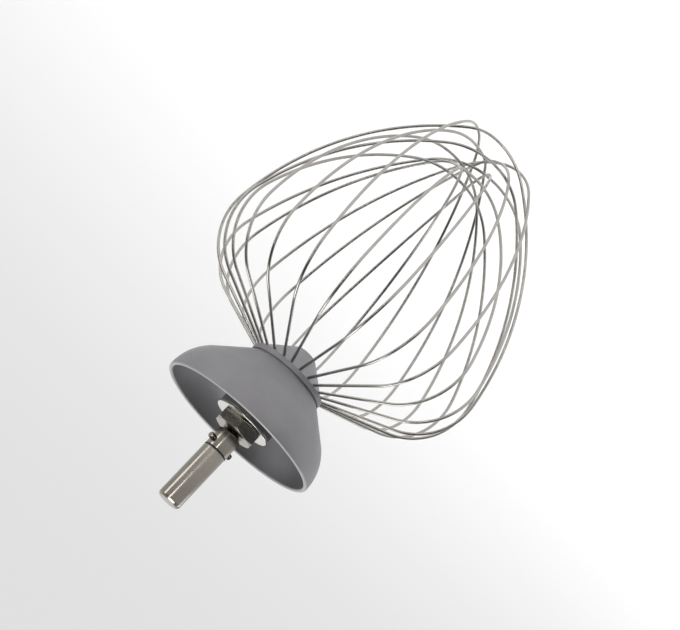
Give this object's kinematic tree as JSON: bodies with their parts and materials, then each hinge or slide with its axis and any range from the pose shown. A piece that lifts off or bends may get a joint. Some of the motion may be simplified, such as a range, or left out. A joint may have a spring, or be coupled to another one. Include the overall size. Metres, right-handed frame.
{
  "type": "stand mixer balloon whisk",
  "caption": "Balloon whisk tool for a planetary stand mixer: plain shaft with cross pin, lock nut, open bell and a cage of crossed wire loops.",
  "frame": {"origin": "on the shaft's axis, half way along the plain stretch that the mixer's socket grips", "axes": "+Z along the shaft, up out of the tool into the mixer's head, as in use; +X square to the shaft, near the plane of the first wire loop"},
  "size_m": [0.1534, 0.1521, 0.2448],
  "materials": {
    "shaft_steel": "turned and ground",
    "nut_steel": "nickel plated",
    "wire_steel": "drawn and polished",
    "bell_aluminium": "cast, bead blasted and lacquered grey",
    "hub_aluminium": "turned",
    "seal_rubber": "moulded"
  },
  "bodies": {
    "shaft": {"drive_shaft": "shaft_steel", "cross_pin": "shaft_steel", "o_ring": "seal_rubber"},
    "washer": {"flat_washer": "nut_steel"},
    "head": {"threaded_bush": "shaft_steel", "hub_core": "hub_aluminium", "bell": "bell_aluminium", "wire_collar": "bell_aluminium", "nose": "bell_aluminium", "wire_loop_01": "wire_steel", "wire_loop_02": "wire_steel", "wire_loop_03": "wire_steel", "wire_loop_04": "wire_steel", "wire_loop_05": "wire_steel", "wire_loop_06": "wire_steel", "wire_loop_07": "wire_steel", "wire_loop_08": "wire_steel", "wire_loop_09": "wire_steel", "wire_loop_10": "wire_steel", "wire_loop_11": "wire_steel", "wire_loop_12": "wire_steel"},
    "nut": {"lock_nut": "nut_steel"}
  },
  "joints": [
    {"name": "height_adjust", "type": "slide", "parent": "shaft", "child": "washer", "axis": [0, 0, 1], "range_m": [-0.01, 0]},
    {"name": "head_turn", "type": "hinge", "parent": "washer", "child": "head", "pos_m": [0, 0, 0], "axis": [0, 0, 1], "range_deg": [-2880, 0]},
    {"name": "lock_nut_turn", "type": "hinge", "parent": "shaft", "child": "nut", "pos_m": [0, 0, 0], "axis": [0, 0, 1], "range_deg": [0, 360]}
  ],
  "couplings": [
    {"joint": "head_turn", "follows": "height_adjust", "rad_per_m": 5026.5}
  ]
}
